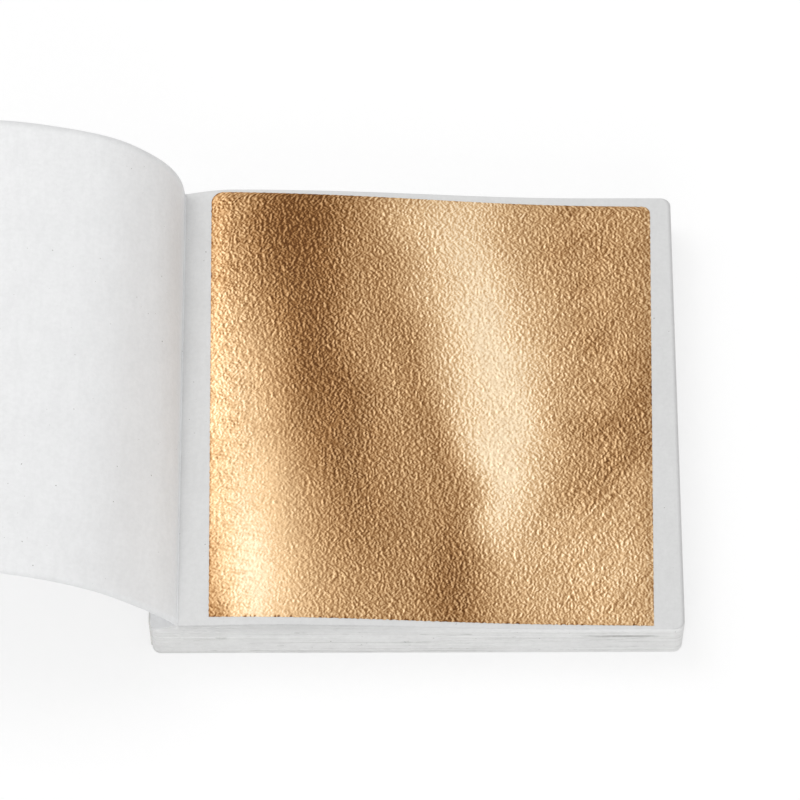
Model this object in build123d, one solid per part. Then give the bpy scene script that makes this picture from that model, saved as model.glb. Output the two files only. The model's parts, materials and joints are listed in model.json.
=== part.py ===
from build123d import *
import math
import os

# A pad of thin pages bound at its left edge, with a gold leaf on each page.
# The first page is turned back to the left, and the first gold leaf lies bare on the next page.
# Lengths are millimetres and angles are degrees. X runs from the spine to the fore edge,
# Y from the near edge to the far edge, Z up. The origin is the centre of the stack's underside.

# Gold leaves
leaf_width = 80.0
leaf_depth = 85.0
leaf_thickness = 0.002
leaf_cut_corner = 1.8
leaf_round_corner = 1.5
leaf_slip = 0.3

# Margins of the page around its gold leaf
binding_margin = 4.75
crease_margin = 5.35
fore_margin = 4.4
near_margin = 1.5
far_margin = 0.5

# Pages
page_thickness = 0.09
page_corner_radius = 1.6
trim_slip = 0.08
flat_page_count = 88
lifted_page_count = 12
pages_per_node = 8

# Running and lying clearances
loose_gap = 0.008
seat_gap = 0.03
crease_gap = 0.16
bend_gap = 0.04

# Hump of the lifted pages beside the crease
fold_lift = 2.0
crest_lift = 3.0
crest_run = 11.0
falloff_point_count = 5
lift_exponent = 1.4

# Spine glue
glue_thickness = 0.25

# Turned page as it lies open. It bends about straight rulings, whose places along its near and
# far edges are shares of its free width. The far edge bends later than the near edge.
near_ruling_shares = [0.008, 0.154, 0.336, 0.56, 0.78]
far_ruling_shares = [0.116, 0.225, 0.339, 0.54, 0.76]
open_angle = 99.5
bend_angles = [30.0, 21.0, 21.0, 17.0, 13.0]

# Slips of the loose sheets follow an angle that never repeats
slip_angle = 137.5

# How far the trimming blocks reach past the humped sheets
cut_overrun = 10.0

# Places and sizes that follow
page_width = binding_margin + crease_margin + leaf_width + fore_margin
page_depth = near_margin + leaf_depth + far_margin
sheet_pitch = page_thickness + leaf_thickness + loose_gap
spine_x = -page_width / 2
fore_x = page_width / 2
fold_x = spine_x + binding_margin
crest_x = fold_x + crest_run
leaf_x = fold_x + crease_margin
near_y = -page_depth / 2
far_y = page_depth / 2
leaf_y = near_y + near_margin
carrier_level = (flat_page_count + lifted_page_count - 1) * sheet_pitch
turned_level = carrier_level + page_thickness + loose_gap
hinge_z = turned_level + fold_lift + page_thickness / 2
free_width = page_width - binding_margin
cut_height = turned_level + crest_lift + cut_overrun


def slip(amount, index):
    """A sheet's small shift in the pad, different for each sheet."""
    return amount * math.sin(math.radians(slip_angle * index))


def save_node(name, solids):
    """Write one sub-part, as a single solid or as a group of separate solids."""
    shape = solids[0] if len(solids) == 1 else Compound(children=solids)
    export_step(shape, os.path.join("parts", name + ".step"))


def flat_page(index):
    """A flat page of the stack, flush at the spine and trimmed a little unevenly elsewhere."""
    width = page_width + slip(trim_slip, index)
    centre = (spine_x + width / 2, slip(trim_slip, index + lifted_page_count), index * sheet_pitch)
    outline = Pos(*centre) * RectangleRounded(width, page_depth, page_corner_radius)
    return extrude(outline, page_thickness)


def flat_leaf(index):
    """The gold leaf that lies on a flat page."""
    near_left = (leaf_x + slip(leaf_slip, index), leaf_y, index * sheet_pitch + page_thickness)
    outline = Pos(*near_left) * Rectangle(leaf_width, leaf_depth, align=(Align.MIN, Align.MIN))
    return extrude(outline, leaf_thickness)


def hump_points(level, lift_share):
    """Places along a lifted sheet's underside from the crease, over the crest, to the fore edge."""
    places = [(fold_x, fold_lift)]
    for step in range(falloff_point_count + 1):
        run_share = step / falloff_point_count
        height = crest_lift * (1 + math.cos(math.pi * run_share)) / 2
        places.append((crest_x + (fore_x - crest_x) * run_share, height))
    return [Vector(x, near_y, level + lift_share * height) for x, height in places]


def hump_line(level, lift_share):
    """A straight ramp from the spine up to the crease, and the curve that follows it."""
    curve = Spline(hump_points(level, lift_share))
    return Line(Vector(spine_x, near_y, level), curve @ 0), curve


def humped_sheet(level, lift_share, thickness):
    """A sheet as wide and deep as the page, humped beside the crease, with square corners."""
    under_ramp, under_curve = hump_line(level, lift_share)
    over_ramp, over_curve = hump_line(level + thickness, lift_share)
    spine_end = Line(under_ramp @ 0, over_ramp @ 0)
    fore_end = Line(under_curve @ 1, over_curve @ 1)
    outline = [under_ramp, under_curve, fore_end, over_curve, over_ramp, spine_end]
    return Solid.extrude(Face(Wire(outline)), Vector(0, page_depth, 0))


def page_trim():
    """A block with the page's plan outline, to cut sheets to."""
    return extrude(RectangleRounded(page_width, page_depth, page_corner_radius), cut_height)


def leaf_trim():
    """A block with a leaf's plan outline."""
    outline = Pos(leaf_x, leaf_y) * Rectangle(leaf_width, leaf_depth, align=(Align.MIN, Align.MIN))
    return extrude(outline, cut_height)


def exposed_leaf_trim():
    """A block with the bare leaf's plan outline: its two far corners are cut and rounded."""
    block = leaf_trim()
    far_edges = block.edges().filter_by(Axis.Z).group_by(Axis.Y)[-1].sort_by(Axis.X)
    block = chamfer(far_edges[0], leaf_cut_corner)
    far_edges = block.edges().filter_by(Axis.Z).group_by(Axis.Y)[-1].sort_by(Axis.X)
    return fillet(far_edges[-1], leaf_round_corner)


def lift_of(order):
    """Where lifted page number order lies, counted from the flat pages, and its share of the hump."""
    level = (flat_page_count + order - 1) * sheet_pitch
    return level, (order / lifted_page_count) ** lift_exponent


def lifted_page(order):
    """A page fanned up beside the crease. The last one carries the bare leaf."""
    level, lift_share = lift_of(order)
    return humped_sheet(level, lift_share, page_thickness) & page_trim()


def lifted_leaf(order):
    """The gold leaf that lies on a lifted page."""
    level, lift_share = lift_of(order)
    return humped_sheet(level + page_thickness, lift_share, leaf_thickness) & leaf_trim()


def exposed_leaf():
    """The bare gold leaf, loose on the carrier page."""
    level = carrier_level + page_thickness + seat_gap
    return humped_sheet(level, 1, leaf_thickness) & exposed_leaf_trim()


def turned_page_margin():
    """The turned page's bound margin, from the spine to the crease."""
    sheet = humped_sheet(turned_level, 1, page_thickness) & page_trim()
    width = binding_margin - crease_gap / 2
    corner = Pos(spine_x, near_y, 0)
    keep = corner * Box(width, page_depth, cut_height, align=(Align.MIN, Align.MIN, Align.MIN))
    return sheet & keep


def spine_glue():
    """The glue film over the spine face, between the page's rounded corners."""
    depth = page_depth - 2 * page_corner_radius
    height = turned_level + page_thickness
    foot = Pos(spine_x, 0, 0)
    return foot * Box(glue_thickness, depth, height, align=(Align.MAX, Align.CENTER, Align.MIN))


def ruling_ends(index):
    """Both ends of a line that the turned page bends about, with the page still unrolled flat
    to the right. Number 0 is the crease, and the last one is the fore edge."""
    near_shares = [0, *near_ruling_shares, 1]
    far_shares = [0, *far_ruling_shares, 1]
    near_end = Vector(fold_x + free_width * near_shares[index], near_y, hinge_z)
    far_end = Vector(fold_x + free_width * far_shares[index], far_y, hinge_z)
    return near_end, far_end


def ruling_axis(index):
    """The axis of a ruling on the unrolled page, from the near edge to the far edge."""
    near_end, far_end = ruling_ends(index)
    return Axis(near_end, far_end - near_end)


def bend_open(shape, count):
    """Carry a shape on the unrolled page to its open place, through the first count rulings."""
    angles = [open_angle, *bend_angles]
    for index in reversed(range(count)):
        shape = shape.rotate(ruling_axis(index), -angles[index])
    return shape


def strip_outline(index):
    """Plan corners of one strip of the unrolled page, clear of both of its rulings."""
    left_gap = crease_gap / 2 if index == 0 else bend_gap / 2
    right_gap = 0 if index == len(bend_angles) else bend_gap / 2
    left_near, left_far = ruling_ends(index)
    right_near, right_far = ruling_ends(index + 1)
    left = Vector(left_gap, 0, 0)
    right = Vector(right_gap, 0, 0)
    return [left_near + left, right_near - right, right_far - right, left_far + left]


def turned_strip(index):
    """One strip of the turned page between two rulings, in its open place."""
    outline = Pos(0, 0, -page_thickness / 2) * make_face(Polyline(strip_outline(index), close=True))
    strip = extrude(outline, page_thickness, dir=(0, 0, 1))
    if index == len(bend_angles):
        fore_edges = strip.edges().filter_by(Axis.Z).group_by(Axis.X)[-1]
        strip = fillet(fore_edges, page_corner_radius)
    return bend_open(strip, index + 1)


def make_parts():
    """Write every sub-part of the booklet."""
    os.makedirs("parts", exist_ok=True)
    for number, first in enumerate(range(0, flat_page_count, pages_per_node), 1):
        group = range(first, min(first + pages_per_node, flat_page_count))
        save_node(f"stack_pages_{number:02d}", [flat_page(index) for index in group])
        save_node(f"stack_leaves_{number:02d}", [flat_leaf(index) for index in group])
    for order in range(1, lifted_page_count):
        save_node(f"lifted_page_{order:02d}", [lifted_page(order)])
    save_node("lifted_leaves", [lifted_leaf(order) for order in range(1, lifted_page_count)])
    save_node("carrier_page", [lifted_page(lifted_page_count)])
    save_node("exposed_leaf", [exposed_leaf()])
    save_node("turned_page_margin", [turned_page_margin()])
    for index in range(len(bend_angles) + 1):
        save_node(f"turned_page_strip_{index + 1:02d}", [turned_strip(index)])
    save_node("spine_glue", [spine_glue()])


make_parts()
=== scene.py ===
import json
import math
import bpy
import numpy as np
from mathutils import Matrix, Vector


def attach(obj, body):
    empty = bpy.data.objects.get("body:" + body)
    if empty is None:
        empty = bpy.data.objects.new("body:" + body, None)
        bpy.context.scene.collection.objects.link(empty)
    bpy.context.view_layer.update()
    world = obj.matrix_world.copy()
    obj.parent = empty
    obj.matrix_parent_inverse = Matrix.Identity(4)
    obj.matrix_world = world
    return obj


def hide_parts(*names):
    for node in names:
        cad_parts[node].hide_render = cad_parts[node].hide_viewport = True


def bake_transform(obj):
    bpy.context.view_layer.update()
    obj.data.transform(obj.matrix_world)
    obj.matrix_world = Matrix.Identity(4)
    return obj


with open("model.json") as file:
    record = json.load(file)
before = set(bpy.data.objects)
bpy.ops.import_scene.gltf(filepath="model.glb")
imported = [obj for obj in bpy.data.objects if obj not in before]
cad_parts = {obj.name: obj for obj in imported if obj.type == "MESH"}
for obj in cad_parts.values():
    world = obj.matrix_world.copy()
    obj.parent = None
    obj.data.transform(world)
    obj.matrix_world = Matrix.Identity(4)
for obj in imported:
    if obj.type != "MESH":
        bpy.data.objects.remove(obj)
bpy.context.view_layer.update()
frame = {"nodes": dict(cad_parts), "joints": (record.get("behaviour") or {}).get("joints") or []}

# Looks of the gold leaf booklet. Sizes are in millimetres and are turned to metres as meshes
# are made. X runs from the spine to the fore edge, Y from the near edge to the far edge, Z up.

MM = 0.001
tiny = 1e-9
rng = np.random.default_rng(7)

# Pages, as in the solids
page_width = 94.5
page_depth = 87.0
page_thickness = 0.09
page_corner = 1.6
binding_margin = 4.75
sheet_pitch = 0.1
flat_page_count = 88
lifted_page_count = 12
lift_exponent = 1.4
fold_lift = 2.0
loose_gap = 0.008
spine_x = -page_width / 2
fore_x = page_width / 2
fold_x = spine_x + binding_margin
near_y = -page_depth / 2
far_y = page_depth / 2
free_width = page_width - binding_margin
carrier_level = (flat_page_count + lifted_page_count - 1) * sheet_pitch
hinge_z = carrier_level + page_thickness + loose_gap + fold_lift + page_thickness / 2

# Rise of the carrier page along its near and far edges: highest lift, run from the crease to
# there, and run to where the page lies flat again
near_hump = (2.5, 15.0, 74.0)
far_hump = (3.7, 9.0, 78.0)

# Gold leaves, and how far they lie from the crease and from the near edge
leaf_width = 80.0
leaf_depth = 85.0
crease_margin = 5.35
near_margin = 1.5

# Corners of the bare leaf in plan, the radius of its far corners, the cell of its mesh, and how
# far it lies above its page
leaf_near_left = (-36.8, -41.9)
leaf_near_right = (41.8, -42.9)
leaf_far_right = (43.5, 41.7)
leaf_far_left = (-37.5, 43.0)
leaf_left_corner = 2.1
leaf_right_corner = 1.5
leaf_cell = 0.16
leaf_seat = 0.03

# Straight rulings of the turned page's curl, as shares of its free width along both edges, and
# the page's angles in degrees at the crease and at each ruling
near_ruling_shares = [0.003, 0.008, 0.10, 0.20, 0.30, 0.40, 0.50, 0.60, 0.70, 0.80, 0.90]
far_ruling_shares = [0.058, 0.154, 0.197, 0.247, 0.305, 0.376, 0.468, 0.56, 0.663, 0.775, 0.885]
open_angle = 96.0
bend_angles = [18.0, 16.5, 7.5, 13.5, 12.5, 6.5, 10.0, 7.5, 5.5, 4.5, 3.5]


def smooth_mix(t):
    """A share that eases in and out between 0 and 1."""
    t = np.clip(t, 0, 1)
    return t * t * (3 - 2 * t)


def mesh_piece(name, points, faces, material, smooth=True):
    """A new piece from points in millimetres."""
    mesh = bpy.data.meshes.new(name)
    mesh.from_pydata([tuple(p) for p in np.asarray(points) * MM], [], faces)
    mesh.validate()
    mesh.update()
    if smooth:
        mesh.polygons.foreach_set("use_smooth", [True] * len(mesh.polygons))
    mesh.materials.append(material)
    piece = bpy.data.objects.new(name, mesh)
    bpy.context.collection.objects.link(piece)
    return piece


def grid_faces(rows, columns, start=0, flip=False):
    """Quads of a grid of points that run along the columns first."""
    faces = []
    for r in range(rows - 1):
        for c in range(columns - 1):
            a = start + r * columns + c
            quad = (a, a + 1, a + columns + 1, a + columns)
            faces.append(quad[::-1] if flip else quad)
    return faces


def grid_normals(grid):
    """Unit normals of a grid of points, turned to the side that its faces show."""
    along_rows = np.gradient(grid, axis=0)
    along_columns = np.gradient(grid, axis=1)
    normals = np.cross(along_columns, along_rows)
    return normals / np.linalg.norm(normals, axis=2, keepdims=True)


def thick_sheet(name, grid, thickness, material, open_sides=()):
    """A sheet as thick as paper around a grid of points. Open sides get no rim."""
    rows, columns = grid.shape[:2]
    normals = grid_normals(grid)
    upper = grid + normals * thickness / 2
    lower = grid - normals * thickness / 2
    count = rows * columns
    points = np.concatenate([upper.reshape(-1, 3), lower.reshape(-1, 3)])
    faces = grid_faces(rows, columns) + grid_faces(rows, columns, count, flip=True)
    sides = {
        "near": list(range(columns)),
        "far": [(rows - 1) * columns + c for c in range(columns)][::-1],
        "left": [r * columns for r in range(rows)][::-1],
        "right": [r * columns + columns - 1 for r in range(rows)],
    }
    for side, ring in sides.items():
        if side in open_sides:
            continue
        for a, b in zip(ring[:-1], ring[1:]):
            faces.append((a, a + count, b + count, b))
    piece = mesh_piece(name, points, faces, material)
    broad_count = 2 * (rows - 1) * (columns - 1)
    piece.data.polygons.foreach_set("use_smooth", [i < broad_count for i in range(len(faces))])
    return piece


def band_noise(rows, columns, cell, wavelength, spread=0.45, heading=None, fan=None):
    """Seeded noise whose waves are about one wavelength long. They may all run along one heading
    in degrees from X, give or take a fan."""
    white = rng.standard_normal((rows, columns))
    fy = np.fft.fftfreq(rows, cell)[:, None]
    fx = np.fft.rfftfreq(columns, cell)[None, :]
    f = np.maximum(np.hypot(fx, fy), tiny)
    keep = np.exp(-np.log(f * wavelength) ** 2 / (2 * spread ** 2))
    if heading is not None:
        off = np.degrees(np.arctan2(fy, np.maximum(fx, tiny))) - heading
        off = (off + 90) % 180 - 90
        keep = keep * np.exp(-(off / fan) ** 2 / 2)
    keep[0, 0] = 0
    field = np.fft.irfft2(np.fft.rfft2(white) * keep, s=(rows, columns))
    return field / field.std()


def profile(run, crest, crest_run, settle_run):
    """Height over a flat page, by the distance from the crease."""
    rise = fold_lift + (crest - fold_lift) * np.sin(np.pi / 2 * np.clip(run / crest_run, 0, 1))
    fall_share = np.clip((run - crest_run) / (settle_run - crest_run), 0, 1)
    fall = crest * (1 + np.cos(np.pi * fall_share)) / 2
    ramp = fold_lift * (1 + np.clip(run / binding_margin, -1, 0))
    return np.where(run < 0, ramp, np.where(run < crest_run, rise, fall))


def hump(x, y):
    """Rise of the topmost lifted page at a place in plan."""
    share = smooth_mix((y - near_y) / page_depth)
    near = profile(x - fold_x, *near_hump)
    far = profile(x - fold_x, *far_hump)
    return near + (far - near) * share


def corner_inset(distance, radius):
    """How far a rounded corner draws an edge in, by the distance from the other edge."""
    d = np.clip(distance, 0, radius)
    return radius - np.sqrt(np.maximum(radius ** 2 - (radius - d) ** 2, 0))


# Materials


def new_material(name):
    """A material with its shader and its node tree."""
    material = bpy.data.materials.new(name)
    material.use_nodes = True
    nodes = material.node_tree.nodes
    return material, nodes, material.node_tree.links, nodes["Principled BSDF"]


def add_noise(nodes, links, scale, detail, roughness, stretch=(1, 1, 1)):
    """A noise texture in the object's own coordinates."""
    coordinates = nodes.new("ShaderNodeTexCoord")
    mapping = nodes.new("ShaderNodeMapping")
    mapping.inputs["Scale"].default_value = stretch
    noise = nodes.new("ShaderNodeTexNoise")
    noise.inputs["Scale"].default_value = scale
    noise.inputs["Detail"].default_value = detail
    noise.inputs["Roughness"].default_value = roughness
    links.new(coordinates.outputs["Object"], mapping.inputs["Vector"])
    links.new(mapping.outputs["Vector"], noise.inputs["Vector"])
    return noise.outputs["Fac"]


def add_ramp(nodes, links, source, stops):
    """A colour ramp over a value. Its first two stops are the lowest and the highest."""
    ramp = nodes.new("ShaderNodeValToRGB")
    elements = ramp.color_ramp.elements
    for place, _ in stops[2:]:
        elements.new(place)
    for element, (place, colour) in zip(elements, sorted(stops)):
        element.position = place
        element.color = (*colour, 1)
    links.new(source, ramp.inputs["Fac"])
    return ramp.outputs["Color"]


def add_shade(nodes, links, tone, source, clear_at, full_at, shade, share=1.0):
    """A tone under a shade that is clear at one level of a value and full at another."""
    shades = add_ramp(nodes, links, source, [(clear_at, (1, 1, 1)), (full_at, shade)])
    mix = nodes.new("ShaderNodeMix")
    mix.data_type = "RGBA"
    mix.blend_type = "MULTIPLY"
    mix.inputs[0].default_value = share
    links.new(tone, mix.inputs[6])
    links.new(shades, mix.inputs[7])
    return mix.outputs[2]


def add_bump(nodes, links, height, distance, strength):
    """A bump from a height value."""
    bump = nodes.new("ShaderNodeBump")
    bump.inputs["Strength"].default_value = strength
    bump.inputs["Distance"].default_value = distance * MM
    links.new(height, bump.inputs["Height"])
    return bump.outputs["Normal"]


def add_patch(nodes, links, centre, half, ragged):
    """The distance from a place, as a share of the patch's half lengths, times a ragged value."""
    coordinates = nodes.new("ShaderNodeTexCoord")
    mapping = nodes.new("ShaderNodeMapping")
    mapping.inputs["Scale"].default_value = [1 / (h * MM) for h in half]
    mapping.inputs["Location"].default_value = [-c / h for c, h in zip(centre, half)]
    length = nodes.new("ShaderNodeVectorMath")
    length.operation = "LENGTH"
    product = nodes.new("ShaderNodeMath")
    product.operation = "MULTIPLY"
    links.new(coordinates.outputs["Object"], mapping.inputs["Vector"])
    links.new(mapping.outputs["Vector"], length.inputs[0])
    links.new(length.outputs["Value"], product.inputs[0])
    links.new(ragged, product.inputs[1])
    return product.outputs[0]


# Noises of the paper: scale, detail, roughness, and how they are stretched along X, Y and Z
cloud_noise = (140, 4, 0.6)
fibre_noise = (900, 4, 0.65, (1, 0.22, 1))
speck_noise = (1500, 1, 0.5)
felt_noise = (1300, 4, 0.65)
page_gap_noise = (1000, 4, 0.75, (0.012, 0.012, 1.6))
long_dash_noise = (900, 4, 0.7, (0.09, 0.09, 2.0))
short_dash_noise = (900, 3, 0.7, (0.3, 0.3, 5.0))

# Shades over them: the levels where a shade is clear and full, and its colour
fibre_shade = (0.65, 0.35, (0.97, 0.97, 0.97))
speck_shade = (0.785, 0.82, (0.50, 0.49, 0.47))
felt_shade = (0.60, 0.38, (0.965, 0.965, 0.965))
page_gap_painted_shade = (0.45, 0.37, (0.82, 0.82, 0.81))
long_dash_shade = (0.62, 0.70, (0.74, 0.74, 0.73))
short_dash_shade = (0.66, 0.71, (0.70, 0.70, 0.69))
grey_streak_shade = (0.46, 0.14, (0.60, 0.60, 0.59))
page_gap_share = 0.8
dark_cloud = 0.35
light_cloud = 0.65

# A grey streak on the near face of the stack: centre and half lengths
grey_streak_centre = (36.5, near_y, 7.0)
grey_streak_half = (8.5, 1.0, 0.5)

# Surface of the paper. A bump is its height and its strength.
paper_roughness = 0.62
paper_gloss = 0.3
felt_bump = (0.045, 0.5)


def add_page_gap_shade_and_dashes(nodes, links, tone):
    """Painted shade in thin lines between the pages on a cut face, with long and short dark dashes and
    one grey streak.
    """
    line = add_noise(nodes, links, *page_gap_noise)
    long_dash = add_noise(nodes, links, *long_dash_noise)
    short_dash = add_noise(nodes, links, *short_dash_noise)
    grey_streak = add_patch(nodes, links, grey_streak_centre, grey_streak_half, short_dash)
    # Painted shade: darker lines along the gaps between the pages.
    tone = add_shade(nodes, links, tone, line, *page_gap_painted_shade, share=page_gap_share)
    tone = add_shade(nodes, links, tone, long_dash, *long_dash_shade)
    tone = add_shade(nodes, links, tone, short_dash, *short_dash_shade)
    return add_shade(nodes, links, tone, grey_streak, *grey_streak_shade)


def paper(name, light, dark, cut_edges=False):
    """Thin uncoated paper with clouds, fibre streaks, a felted surface and a few dark specks."""
    material, nodes, links, shader = new_material(name)
    cloud = add_noise(nodes, links, *cloud_noise)
    fibre = add_noise(nodes, links, *fibre_noise)
    speck = add_noise(nodes, links, *speck_noise)
    felt = add_noise(nodes, links, *felt_noise)
    tone = add_ramp(nodes, links, cloud, [(dark_cloud, dark), (light_cloud, light)])
    tone = add_shade(nodes, links, tone, fibre, *fibre_shade)
    tone = add_shade(nodes, links, tone, speck, *speck_shade)
    tone = add_shade(nodes, links, tone, felt, *felt_shade)
    if cut_edges:
        tone = add_page_gap_shade_and_dashes(nodes, links, tone)
    links.new(tone, shader.inputs["Base Color"])
    shader.inputs["Roughness"].default_value = paper_roughness
    shader.inputs["Specular IOR Level"].default_value = paper_gloss
    links.new(add_bump(nodes, links, felt, *felt_bump), shader.inputs["Normal"])
    return material


# Colours of the bare leaf by its tone, which holds painted reflections and painted shade, from dark 0
# to light 1, the lowest and the highest first
gold_tones = [
    (0.0, (0.115, 0.046, 0.015)),
    (1.0, (0.92, 0.80, 0.60)),
    (0.25, (0.26, 0.128, 0.046)),
    (0.5, (0.44, 0.262, 0.124)),
    (0.75, (0.69, 0.48, 0.27)),
]
bare_grain_noise = (1600, 3, 0.6)
bare_grain_shade = (0.60, 0.35, (0.86, 0.82, 0.78))
bare_gold_roughness = 0.42

# The leaves between the pages
inner_gold_tones = [(0.3, (0.42, 0.24, 0.09)), (0.7, (0.75, 0.50, 0.24))]
inner_grain_noise = (900, 3, 0.6)
inner_gold_roughness = 0.4
grain_bump = (0.05, 0.5)

# Padding glue: its brush strokes, and the page edges that show through
glue_tones = [(0.3, (0.72, 0.71, 0.68)), (0.7, (0.82, 0.82, 0.80))]
stroke_noise = (500, 4, 0.65, (1, 0.25, 1))
glue_line_noise = (1000, 3, 0.7, (0.01, 0.01, 1.2))
glue_line_shade = (0.55, 0.38, (0.84, 0.84, 0.83))
glue_roughness = 0.45
stroke_bump = (0.12, 0.6)


def gold(name):
    """Crinkled gold foil. The tone attribute carries painted reflections in broad light and dark bands,
    painted shading on its crinkles and creases, and its dark rims and specks.
    """
    material, nodes, links, shader = new_material(name)
    attribute = nodes.new("ShaderNodeAttribute")
    attribute.attribute_name = "tone"
    colour = add_ramp(nodes, links, attribute.outputs["Fac"], gold_tones)
    grain = add_noise(nodes, links, *bare_grain_noise)
    colour = add_shade(nodes, links, colour, grain, *bare_grain_shade)
    links.new(colour, shader.inputs["Base Color"])
    shader.inputs["Metallic"].default_value = 1.0
    shader.inputs["Roughness"].default_value = bare_gold_roughness
    links.new(add_bump(nodes, links, grain, *grain_bump), shader.inputs["Normal"])
    return material


def plain_gold(name):
    """Gold foil that lies pressed between pages."""
    material, nodes, links, shader = new_material(name)
    grain = add_noise(nodes, links, *inner_grain_noise)
    colour = add_ramp(nodes, links, grain, inner_gold_tones)
    links.new(colour, shader.inputs["Base Color"])
    shader.inputs["Metallic"].default_value = 1.0
    shader.inputs["Roughness"].default_value = inner_gold_roughness
    links.new(add_bump(nodes, links, grain, *grain_bump), shader.inputs["Normal"])
    return material


def glue(name):
    """Dry padding glue, brushed on in uneven strokes."""
    material, nodes, links, shader = new_material(name)
    stroke = add_noise(nodes, links, *stroke_noise)
    line = add_noise(nodes, links, *glue_line_noise)
    tone = add_ramp(nodes, links, stroke, glue_tones)
    tone = add_shade(nodes, links, tone, line, *glue_line_shade)
    links.new(tone, shader.inputs["Base Color"])
    shader.inputs["Roughness"].default_value = glue_roughness
    links.new(add_bump(nodes, links, stroke, *stroke_bump), shader.inputs["Normal"])
    return material


# The same paper in four copies. The lifted pages, the turned page with its margin and the cut faces of
# the stack are painted lighter than the page paper: painted light, where these faces take more light or
# lie in shade between pages.
page_paper = paper("page_paper", (0.785, 0.787, 0.785), (0.76, 0.762, 0.76))
lifted_paper_painted_lighter = paper("lifted_page_paper_painted_lighter", (0.93, 0.93, 0.925), (0.91, 0.91, 0.905))
turned_paper_painted_lighter = paper("turned_page_paper_painted_lighter", (0.952, 0.957, 0.962), (0.927, 0.932, 0.937))
edge_paper_painted_lighter = paper("stack_edge_paper_painted_lighter", (0.965, 0.965, 0.96), (0.925, 0.925, 0.92), cut_edges=True)
bare_gold = gold("bare_gold_leaf")
inner_gold = plain_gold("inner_gold_leaf")
spine_glue = glue("binding_glue")

for name, node in frame["nodes"].items():
    if name.startswith("stack_pages"):
        finish = edge_paper_painted_lighter
    elif "leaves" in name or name == "exposed_leaf":
        finish = inner_gold
    elif name == "spine_glue":
        finish = spine_glue
    elif name == "turned_page_margin":
        finish = turned_paper_painted_lighter
    else:
        finish = page_paper
    for slot in node.material_slots:
        slot.material = finish

# Lifted pages and the carrier page

sheet_columns = 150
sheet_rows = 60
foil_columns = 60
foil_rows = 30

# Extra rows near a page's rounded corners take one in this many of the column shares
corner_row_step = 15

# How far the near, far and fore edges of a lifted page may lie off, and the angles in radians
# by which these shifts turn from one page to the next
edge_shifts = np.array([0.02, 0.08, 0.08])
edge_shift_turns = np.array([2.4, 3.9, 5.1])

# Faint waves of the carrier page: their height, how far in from the crease and from the fore
# edge they reach it, and for each wave the runs along X and Y that turn it by one radian, and
# its start in radians
ripple_height = 0.16
ripple_crease_run = 10
ripple_fore_run = 12
ripple_waves = [(7.5, 19, 0.0), (23, -11, 1.3)]


def plan_grid(columns, rows, near_shift=0.0, far_shift=0.0, fore_shift=0.0):
    """Plan places of a page with rounded corners, and edges that may lie off by a little."""
    u = np.linspace(0, 1, columns)
    v = np.linspace(0, 1, rows)
    corner_share = 4 * page_corner / page_depth
    corner_rows = corner_share * u[::corner_row_step] ** 2
    v = np.unique(np.concatenate([v, corner_rows, 1 - corner_rows]))
    low, high = near_y + near_shift, far_y + far_shift
    y = low + (high - low) * v
    inset = corner_inset(np.minimum(y - low, high - y), page_corner)
    left = spine_x + inset
    right = fore_x + fore_shift - inset
    x = left[:, None] + (right - left)[:, None] * u[None, :]
    return x, np.repeat(y[:, None], columns, axis=1)


def ripple(x, y):
    """Faint waves of the topmost page, never below its even shape."""
    wave = 0.5
    for run_x, run_y, start in ripple_waves:
        wave = wave + 0.25 * np.sin(x / run_x + y / run_y + start)
    inside = smooth_mix((x - fold_x) / ripple_crease_run) * smooth_mix((fore_x - x) / ripple_fore_run)
    return ripple_height * wave * inside


def lifted_sheet(order):
    """A page fanned up beside the crease."""
    level = (flat_page_count + order - 1) * sheet_pitch
    share = (order / lifted_page_count) ** lift_exponent
    shifts = edge_shifts * np.sin(edge_shift_turns * order)
    x, y = plan_grid(sheet_columns, sheet_rows, *shifts)
    z = level + page_thickness / 2 + share * hump(x, y)
    if order == lifted_page_count:
        z = z + ripple(x, y)
    name = "carrier_page" if order == lifted_page_count else f"lifted_page_{order:02d}"
    finish = page_paper if order == lifted_page_count else lifted_paper_painted_lighter
    piece = thick_sheet(name + "_sheet", np.stack([x, y, z], axis=2), page_thickness, finish)
    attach(piece, "booklet")
    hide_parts(name)


def lifted_foils():
    """The gold leaves between the lifted pages, as one piece of separate foils."""
    points, faces = [], []
    run_x = fold_x + crease_margin + leaf_width * np.linspace(0, 1, foil_columns)
    run_y = near_y + near_margin + leaf_depth * np.linspace(0, 1, foil_rows)
    x, y = np.meshgrid(run_x, run_y)
    for order in range(1, lifted_page_count):
        level = (flat_page_count + order - 1) * sheet_pitch + page_thickness + loose_gap / 2
        share = (order / lifted_page_count) ** lift_exponent
        z = level + share * hump(x, y)
        faces += grid_faces(foil_rows, foil_columns, len(points))
        points += list(np.stack([x, y, z], axis=2).reshape(-1, 3))
    piece = mesh_piece("lifted_leaves_foil", points, faces, inner_gold)
    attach(piece, "booklet")
    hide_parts("lifted_leaves")


for order in range(1, lifted_page_count + 1):
    lifted_sheet(order)
lifted_foils()
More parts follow.
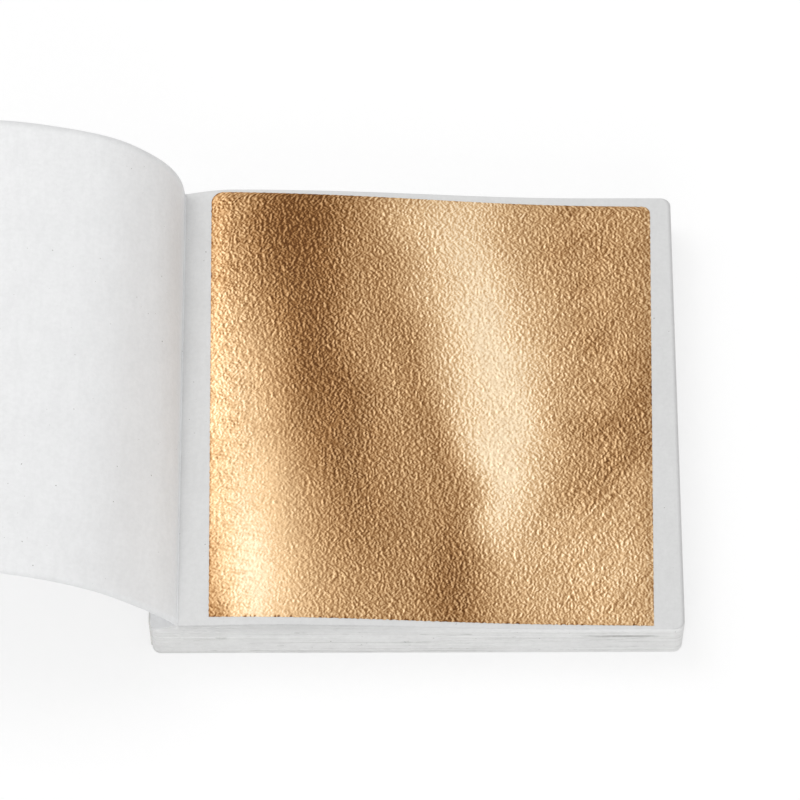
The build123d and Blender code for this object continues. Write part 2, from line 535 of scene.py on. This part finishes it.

# The bare gold leaf

# Broad bands of painted reflection on the leaf, lighter and darker: centre and half lengths as
# shares of the leaf's width and depth, turn in degrees, and how much lighter or darker the band is
painted_reflection_bands = [
    (0.53, 0.97, 0.12, 0.12, 10, 0.14),
    (0.60, 0.76, 0.085, 0.20, 12, 0.26),
    (0.655, 0.50, 0.08, 0.20, 6, 0.30),
    (0.655, 0.30, 0.045, 0.10, 0, 0.22),
    (0.50, 0.46, 0.04, 0.20, 16, -0.13),
    (0.39, 0.80, 0.035, 0.16, 14, -0.08),
    (0.40, 0.66, 0.05, 0.16, 16, 0.02),
    (0.00, 0.62, 0.05, 0.16, 0, 0.11),
    (0.07, 0.40, 0.07, 0.20, 0, 0.19),
    (0.12, 0.11, 0.09, 0.16, 0, 0.24),
    (0.085, 0.05, 0.04, 0.09, 0, 0.12),
    (0.0, 0.05, 0.016, 0.10, 0, -0.15),
    (0.20, 0.98, 0.085, 0.14, 4, -0.36),
    (0.22, 0.70, 0.065, 0.20, 10, -0.24),
    (0.28, 0.48, 0.065, 0.16, 20, -0.15),
    (0.28, 0.24, 0.07, 0.12, 30, -0.09),
    (0.44, 0.22, 0.10, 0.16, 30, -0.06),
    (0.55, 0.07, 0.042, 0.13, -4, -0.21),
    (0.90, 0.90, 0.14, 0.14, 0, -0.03),
    (0.99, 0.56, 0.05, 0.12, 0, -0.08),
    (0.87, 0.38, 0.045, 0.16, -41, -0.13),
    (0.88, 0.14, 0.16, 0.16, 0, 0.15),
]
base_tone = 0.50
highest_tone = 0.92

# The bands bend by this share of the leaf, over waves of this length
warp_reach = 0.008
warp_length = 22.0

# Crinkles: wave length and height of each size, the headings in degrees that they follow and
# how closely, and the waves that bend them into zigzags. Forms broader than the broadest
# crinkle are taken out, and the rest is raised and kept between zero and twice that lift.
crinkle_sizes = [(1.5, 0.085), (0.85, 0.06), (0.5, 0.035)]
crinkle_headings = [-34.0, 4.0, 40.0]
crinkle_fan = 14.0
crinkle_spread = 0.35
crinkle_sharpness = 1.4
zigzag_length = 0.9
zigzag_reach = 0.08
broadest_crinkle = 1.6
crinkle_lift = 0.08

# Crinkles of each size are stronger in some patches: the patches' length against the crinkles',
# their middle and swing in strength, and its limits
patch_length_share = 2.0
patch_base = 0.7
patch_swing = 0.3
patch_limits = (0.2, 1.4)

# Painted shading: lit and shaded sides of the crinkles in the tone: how strong they are, how
# much less on a bright tone and on a calm place, how much their far sides count, and how soft they are
painted_crinkle_shading = 0.36
dark_tone_strength = 1.32
bright_tone_loss = 0.8
calm_tone_share = 0.6
far_side_share = 0.15
side_softness = 1.3

# Broad swells of the leaf, and the runs from its edge over which swells and crinkles reach
# their full height
swell_height = 0.02
swell_length = 14.0
swell_base = 3
swell_run = 6
crinkle_run = 1.5
edge_crinkle_share = 0.25

# The leaf lies smoother near its bright near left corner: centre, half lengths and share kept
calm_place = (0.11, 0.17)
calm_half = (0.085, 0.28)
calm_share = 0.32

# Long faint creases, shown only as painted highlight and shade lines in the tone: wave length,
# heading, place across the leaf, half width and tone
painted_crease_lines = [(4.0, -42.0, 0.90, 0.11, 0.07), (1.5, 78.0, 0.03, 0.06, 0.08)]
streak_spread = 0.4
streak_fan = 12.0
streak_base = 0.8

# Ragged edges of the leaf: the length of their waves, and how far they reach
ragged_length = 1.4
ragged_reach = 0.018
near_ragged_reach = 0.03

# Dark rim of the left edge
left_rim_tone = 0.22
left_rim_width = 0.25

# Dark specks along the near edge, and fainter ones along the far edge. They are in groups.
speck_length = 1.8
speck_spread = 0.9
speck_softness = 1.2
speck_cut = 0.2
speck_group_length = 9.0
speck_group_base = 0.6
speck_width = 0.3
near_speck_tone = 0.9
far_speck_tone = 0.35


def painted_reflection_tone(u, v, warp_u, warp_v):
    """Broad painted reflections of the leaf, as a tone from dark 0 to light 1."""
    tone = np.full(u.shape, base_tone)
    u = u + warp_reach * warp_u
    v = v + warp_reach * warp_v
    for cu, cv, half_u, half_v, turn, gain in painted_reflection_bands:
        a = math.radians(turn)
        du = (u - cu) * math.cos(a) + (v - cv) * math.sin(a)
        dv = (v - cv) * math.cos(a) - (u - cu) * math.sin(a)
        tone = tone + gain * np.exp(-0.5 * ((du / half_u) ** 2 + (dv / half_v) ** 2))
    return tone


def shifted(field, shift_rows, shift_columns):
    """A field read at places shifted by a few cells, wrapping around at its edges."""
    rows, columns = field.shape
    r = np.arange(rows)[:, None] + shift_rows
    c = np.arange(columns)[None, :] + shift_columns
    r0, c0 = np.floor(r).astype(int), np.floor(c).astype(int)
    tr, tc = r - r0, c - c0
    near_row, far_row = r0 % rows, (r0 + 1) % rows
    left, right = c0 % columns, (c0 + 1) % columns
    near = field[near_row, left] * (1 - tc) + field[near_row, right] * tc
    far = field[far_row, left] * (1 - tc) + field[far_row, right] * tc
    return near * (1 - tr) + far * tr


def crinkles(rows, columns):
    """Small sharp crinkles in millimetres: the highest of ridges that follow a few headings, bent
    into zigzags."""
    total = np.zeros((rows, columns))
    for wavelength, height in crinkle_sizes:
        ridges = []
        for heading in crinkle_headings:
            wave = band_noise(rows, columns, leaf_cell, wavelength, crinkle_spread, heading, crinkle_fan)
            patches = band_noise(rows, columns, leaf_cell, patch_length_share * wavelength)
            patch = np.clip(patch_base + patch_swing * patches, *patch_limits)
            ridges.append(patch * np.exp(-np.abs(wave) * crinkle_sharpness))
        total += height * np.max(ridges, axis=0)
    bends = [band_noise(rows, columns, leaf_cell, zigzag_length) for _ in range(2)]
    total = shifted(total, *(bend * zigzag_reach / leaf_cell for bend in bends))
    fy = np.fft.fftfreq(rows, leaf_cell)[:, None]
    fx = np.fft.rfftfreq(columns, leaf_cell)[None, :]
    keep = 1 - np.exp(-(np.hypot(fx, fy) * broadest_crinkle) ** 2)
    total = np.fft.irfft2(np.fft.rfft2(total) * keep, s=(rows, columns))
    return np.clip(total + crinkle_lift, 0, 2 * crinkle_lift)


def leaf_plan(u, v):
    """Plan places of the leaf's points, with ragged edges and rounded far corners."""
    rows, columns = u.shape
    sides = [band_noise(1, rows, leaf_cell, ragged_length)[0][:, None] for _ in range(2)]
    ends = [band_noise(1, columns, leaf_cell, ragged_length)[0][None, :] for _ in range(2)]
    left_x = leaf_near_left[0] + (leaf_far_left[0] - leaf_near_left[0]) * v
    right_x = leaf_near_right[0] + (leaf_far_right[0] - leaf_near_right[0]) * v
    left_x = left_x + corner_inset((1 - v) * leaf_depth, leaf_left_corner) + ragged_reach * sides[0]
    right_x = right_x - corner_inset((1 - v) * leaf_depth, leaf_right_corner) + ragged_reach * sides[1]
    near_end = leaf_near_left[1] + (leaf_near_right[1] - leaf_near_left[1]) * u
    far_end = leaf_far_left[1] + (leaf_far_right[1] - leaf_far_left[1]) * u
    near_end = near_end + near_ragged_reach * ends[0]
    far_end = far_end + ragged_reach * ends[1]
    return left_x + (right_x - left_x) * u, near_end + (far_end - near_end) * v


def edge_specks(columns):
    """How strongly dark specks show along an end of the leaf."""
    specks = band_noise(1, columns, leaf_cell, speck_length, speck_spread)[0]
    groups = band_noise(1, columns, leaf_cell, speck_group_length)[0]
    return smooth_mix(specks / speck_softness - speck_cut) * smooth_mix(groups + speck_group_base)


def bare_leaf():
    """The bare leaf: a fine grid with ragged edges, soft waves and small sharp crinkles."""
    columns = round(leaf_width / leaf_cell)
    rows = round(leaf_depth / leaf_cell)
    u, v = np.meshgrid(np.linspace(0, 1, columns), np.linspace(0, 1, rows))
    warp = [band_noise(rows, columns, leaf_cell, warp_length) for _ in range(2)]
    x, y = leaf_plan(u, v)
    calm = ((u - calm_place[0]) / calm_half[0]) ** 2 + ((v - calm_place[1]) / calm_half[1]) ** 2
    liveliness = 1 - (1 - calm_share) * np.exp(-calm / 2)
    sharp = crinkles(rows, columns) * liveliness
    swell = band_noise(rows, columns, leaf_cell, swell_length)
    edge = np.minimum(np.minimum(u, 1 - u) * leaf_width, np.minimum(v, 1 - v) * leaf_depth)
    settle = edge_crinkle_share + (1 - edge_crinkle_share) * smooth_mix(edge / crinkle_run)
    height = sharp * settle + swell_height * (swell + swell_base) * smooth_mix(edge / swell_run)
    z = carrier_level + page_thickness + hump(x, y) + ripple(x, y) + leaf_seat + height

    # The tone starts with the broad painted reflections.
    tone = painted_reflection_tone(u, v, *warp)
    for wavelength, heading, place, half, gain in painted_crease_lines:
        wave = band_noise(rows, columns, leaf_cell, wavelength, streak_spread, heading, streak_fan)
        tone = tone + gain * (streak_base - np.abs(wave)) * np.exp(-((u - place) / half) ** 2 / 2)
    # Painted shading: each crinkle's sides are made lighter or darker by their slope, as if lit from the
    # left.
    painted_lit_side = np.gradient(sharp, axis=1) + far_side_share * np.gradient(sharp, axis=0)
    strength = painted_crinkle_shading * (dark_tone_strength - bright_tone_loss * tone)
    strength = strength * (calm_tone_share + (1 - calm_tone_share) * liveliness)
    tone = tone + strength * np.tanh(painted_lit_side / painted_lit_side.std() / side_softness)
    tone = tone - left_rim_tone * np.exp(-u * leaf_width / left_rim_width)
    specks = edge_specks(columns)
    near_rim = np.exp(-(v * leaf_depth / speck_width) ** 2)
    far_rim = np.exp(-((1 - v) * leaf_depth / speck_width) ** 2)
    tone = tone - near_speck_tone * specks[None, :] * near_rim
    tone = tone - far_speck_tone * specks[None, ::-1] * far_rim

    points = np.stack([x, y, z], axis=2).reshape(-1, 3)
    piece = mesh_piece("exposed_leaf_foil", points, grid_faces(rows, columns), bare_gold)
    attribute = piece.data.attributes.new("tone", "FLOAT", "POINT")
    attribute.data.foreach_set("value", np.clip(tone, 0, highest_tone).astype(np.float32).ravel())
    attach(piece, "exposed_leaf")
    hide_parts("exposed_leaf")


bare_leaf()

# The turned page: a smooth sheet ruled between its near and far edges. The solids' curl hinges
# lie at these shares of its near edge. The least blend is in metres.

hinge_near_shares = [0.008, 0.154, 0.336, 0.56, 0.78]
strip_cell = 0.6
page_rows = 61
least_blend = 0.0001


def turned(points, origin, direction, angle):
    """Points turned about an axis, by an angle in degrees."""
    a = math.radians(angle)
    axis = direction / np.linalg.norm(direction)
    arms = points - origin
    across = np.cross(axis, arms)
    along = np.outer(arms @ axis, axis)
    return origin + arms * math.cos(a) + across * math.sin(a) + along * (1 - math.cos(a))


def ruling_ends():
    """Near and far ends of all rulings, with the page in its open place."""
    ends = []
    for shares, y in ((near_ruling_shares, near_y), (far_ruling_shares, far_y)):
        runs = fold_x + free_width * np.array([0, *shares, 1])
        ends.append(np.stack([runs, np.full(len(runs), y), np.full(len(runs), hinge_z)], axis=1))
    near, far = ends
    angles = [open_angle, *bend_angles]
    pairs = np.stack([near, far], axis=1)
    placed = pairs.copy()
    for k in range(1, len(pairs)):
        for j in range(k - 1, -1, -1):
            placed[k] = turned(placed[k], near[j], far[j] - near[j], -angles[j])
    return placed[:, 0], placed[:, 1]


def spline(points, places):
    """A natural cubic curve through points, read at places counted in points."""
    steps = np.linalg.norm(np.diff(points, axis=0), axis=1)
    count = len(points)
    system = np.zeros((count, count))
    right = np.zeros((count, 3))
    system[0, 0] = system[-1, -1] = 1
    for i in range(1, count - 1):
        system[i, i - 1:i + 2] = steps[i - 1], 2 * (steps[i - 1] + steps[i]), steps[i]
        right[i] = 6 * ((points[i + 1] - points[i]) / steps[i]
                        - (points[i] - points[i - 1]) / steps[i - 1])
    bends = np.linalg.solve(system, right)
    k = np.clip(np.floor(places).astype(int), 0, count - 2)
    h = steps[k][:, None]
    t = (places - k)[:, None] * h
    slope = (points[k + 1] - points[k]) / h - h * (2 * bends[k] + bends[k + 1]) / 6
    twist = (bends[k + 1] - bends[k]) / h
    return points[k] + slope * t + bends[k] * t ** 2 / 2 + twist * t ** 3 / 6


def turned_grid(shares):
    """The turned page's points, and the place of each column counted in rulings."""
    near, far = ruling_ends()
    places = []
    for k in range(len(near) - 1):
        length = max(np.linalg.norm(near[k + 1] - near[k]), np.linalg.norm(far[k + 1] - far[k]))
        places.append(np.linspace(k, k + 1, math.ceil(length / strip_cell), endpoint=False))
    places = np.concatenate([*places, [len(near) - 1]])
    near_curve = spline(near, places)
    far_curve = spline(far, places)
    rows = np.linspace(0, 1, page_rows)[:, None, None]
    reach = (len(near) - 1 - places) * (1 - shares[-2]) * free_width
    inset = corner_inset(reach, page_corner) / page_depth
    rows = inset[None, :, None] + (1 - 2 * inset)[None, :, None] * rows
    return near_curve[None] + (far_curve - near_curve)[None] * rows, places


def blend_span(part, joint):
    """Where a part of the turned page starts and stops bending about a joint."""
    axis = Vector(joint["axis"])
    origin = Vector(joint["pos_m"])
    centre = Vector(part.reshape(-1, 3).mean(axis=0) * MM)
    middle = origin + axis * (centre - origin).dot(axis)
    first = Vector(part[:, 0].mean(axis=0) * MM)
    last = Vector(part[:, -1].mean(axis=0) * MM)
    across = (last - first) - axis * (last - first).dot(axis)
    across.normalize()
    before = [(Vector(p * MM) - middle).dot(across) for p in part[:, 0]]
    after = [(Vector(p * MM) - middle).dot(across) for p in part[:, -1]]
    start = middle + across * min(max(before), -least_blend)
    return start, middle + across * max(min(after), least_blend)


def turned_page():
    """The turned page in pieces, one around each ruling joint of the solids."""
    shares = np.array([0, *near_ruling_shares, 1])
    grid, places = turned_grid(shares)
    joints = [j for j in frame["joints"] if j["name"].startswith("page_curl")]
    hinge_places = np.interp(hinge_near_shares, shares, np.arange(len(shares)))
    splits = [0, *((hinge_places[:-1] + hinge_places[1:]) / 2), places[-1]]
    columns = [int(np.argmin(np.abs(places - s))) for s in splits]
    for k, joint in enumerate(joints):
        part = grid[:, columns[k]:columns[k + 1] + 1]
        is_last = k == len(joints) - 1
        open_sides = [side for side, meets in (("left", k > 0), ("right", not is_last)) if meets]
        name = f"turned_page_sheet_{k + 1}"
        piece = thick_sheet(name, part, page_thickness, turned_paper_painted_lighter, open_sides)
        start, end = blend_span(part, joint)
        strips = [f"turned_page_strip_{k + 1:02d}"]
        if is_last:
            strips.append(f"turned_page_strip_{k + 2:02d}")
        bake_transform(piece)
        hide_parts(*strips)


turned_page()

# The crease of the turned page, which closes the small gap that the solids leave for its hinge.
# It starts and ends at these distances from the fold.

crease_start = -0.08
crease_reach = 0.26
crease_columns = 6


def turned_page_crease():
    """The folded edge of the turned page, a narrow lip that lies on the carrier page."""
    y = np.linspace(near_y, far_y, page_rows)
    x = fold_x + np.linspace(crease_start, crease_reach, crease_columns)
    x, y = np.meshgrid(x, y)
    z = carrier_level + page_thickness + hump(x, y) + ripple(x, y) + loose_gap + page_thickness / 2
    grid = np.stack([x, y, z], axis=2)
    piece = thick_sheet("turned_page_crease", grid, page_thickness, turned_paper_painted_lighter)
    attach(piece, "booklet")


turned_page_crease()

# Floor, light and camera

background = (0.93, 0.93, 0.93)
floor_half = 1500.0
floor_drop = 0.05
floor_shade = (0.42, 0.42, 0.42)
floor_glow = 0.63
ambient_strength = 0.66
lamp_size = 600
key_place = (-380, 330, 760)
key_power = 2.1
front_place = (-60, -820, 360)
front_power = 1.6
lamp_target = (0, 0, 10)


def camera_rays(tree):
    """A value that is 1 for rays that show the background as it is."""
    path = tree.nodes.new("ShaderNodeLightPath")
    total = path.outputs["Is Camera Ray"]
    for name in ("Is Glossy Ray", "Is Transmission Ray"):
        larger = tree.nodes.new("ShaderNodeMath")
        larger.operation = "MAXIMUM"
        tree.links.new(total, larger.inputs[0])
        tree.links.new(path.outputs[name], larger.inputs[1])
        total = larger.outputs[0]
    return total


def make_floor():
    """A pale floor that shows as white and keeps the object's shadow."""
    half = floor_half
    corners = [(-half, -half, 0), (half, -half, 0), (half, half, 0), (-half, half, 0)]
    material, nodes, links, shader = new_material("floor")
    nodes.remove(shader)
    output = nodes["Material Output"]
    plain = nodes.new("ShaderNodeBsdfDiffuse")
    plain.inputs["Color"].default_value = (*background, 1)
    shaded = nodes.new("ShaderNodeBsdfDiffuse")
    shaded.inputs["Color"].default_value = (*floor_shade, 1)
    glow = nodes.new("ShaderNodeEmission")
    glow.inputs["Strength"].default_value = floor_glow
    seen = nodes.new("ShaderNodeAddShader")
    mix = nodes.new("ShaderNodeMixShader")
    links.new(shaded.outputs[0], seen.inputs[0])
    links.new(glow.outputs[0], seen.inputs[1])
    links.new(camera_rays(material.node_tree), mix.inputs[0])
    links.new(plain.outputs[0], mix.inputs[1])
    links.new(seen.outputs[0], mix.inputs[2])
    links.new(mix.outputs[0], output.inputs["Surface"])
    floor = mesh_piece("floor", corners, [(0, 1, 2, 3)], material, smooth=False)
    floor.location.z = -floor_drop * MM


def make_world():
    """Even soft light from all around, behind a white background."""
    world = bpy.data.worlds.new("studio")
    bpy.context.scene.world = world
    world.use_nodes = True
    tree = world.node_tree
    tree.nodes.clear()
    output = tree.nodes.new("ShaderNodeOutputWorld")
    soft = tree.nodes.new("ShaderNodeBackground")
    soft.inputs["Color"].default_value = (1, 1, 1, 1)
    soft.inputs["Strength"].default_value = ambient_strength
    seen = tree.nodes.new("ShaderNodeBackground")
    seen.inputs["Color"].default_value = (1, 1, 1, 1)
    seen.inputs["Strength"].default_value = 1.0
    mix = tree.nodes.new("ShaderNodeMixShader")
    tree.links.new(camera_rays(tree), mix.inputs[0])
    tree.links.new(soft.outputs[0], mix.inputs[1])
    tree.links.new(seen.outputs[0], mix.inputs[2])
    tree.links.new(mix.outputs[0], output.inputs["Surface"])


def aim(thing, place, target):
    """Put a lamp at a place, turned to a target, both in millimetres."""
    place, target = Vector(place) * MM, Vector(target) * MM
    thing.location = place
    thing.rotation_euler = (target - place).to_track_quat("-Z", "Y").to_euler()


def make_lamp(name, place, size, power):
    """A soft square lamp."""
    data = bpy.data.lights.new(name, "AREA")
    data.shape = "SQUARE"
    data.size = size * MM
    data.energy = power
    lamp = bpy.data.objects.new(name, data)
    bpy.context.collection.objects.link(lamp)
    aim(lamp, place, lamp_target)


# Camera fitted to the photograph: elevation, azimuth and roll in degrees, lengths in millimetres.
# The focal ratio is the focal length over the sensor's width.
camera_elevation = 63.4
camera_azimuth = 0.3
camera_roll = 0.1
camera_distance = 815.0
camera_target = (-2.9, 1.9, 10.0)
sensor_width = 36.0
focal_ratio = 5.625
near_clip = 10.0


def make_camera():
    """The camera, from the angles that fit the leaf's and the pages' corners."""
    elevation = math.radians(camera_elevation)
    azimuth = math.radians(camera_azimuth)
    roll = math.radians(camera_roll)
    forward = Vector((math.sin(azimuth) * math.cos(elevation),
                      math.cos(azimuth) * math.cos(elevation), -math.sin(elevation)))
    right = Vector((math.cos(azimuth), -math.sin(azimuth), 0))
    up = right.cross(forward)
    tilted_right = right * math.cos(roll) + up * math.sin(roll)
    tilted_up = up * math.cos(roll) - right * math.sin(roll)
    data = bpy.data.cameras.new("camera")
    data.sensor_width = sensor_width
    data.lens = sensor_width * focal_ratio
    data.clip_start = near_clip * MM
    camera = bpy.data.objects.new("camera", data)
    bpy.context.collection.objects.link(camera)
    turn = Matrix((tilted_right, tilted_up, -forward)).transposed().to_4x4()
    place = Vector(camera_target) * MM - forward * camera_distance * MM
    camera.matrix_world = Matrix.Translation(place) @ turn
    bpy.context.scene.camera = camera


make_floor()
make_world()
make_lamp("key_lamp", key_place, lamp_size, key_power)
make_lamp("front_lamp", front_place, lamp_size, front_power)
make_camera()

scene = bpy.context.scene
scene.view_settings.view_transform = "Standard"
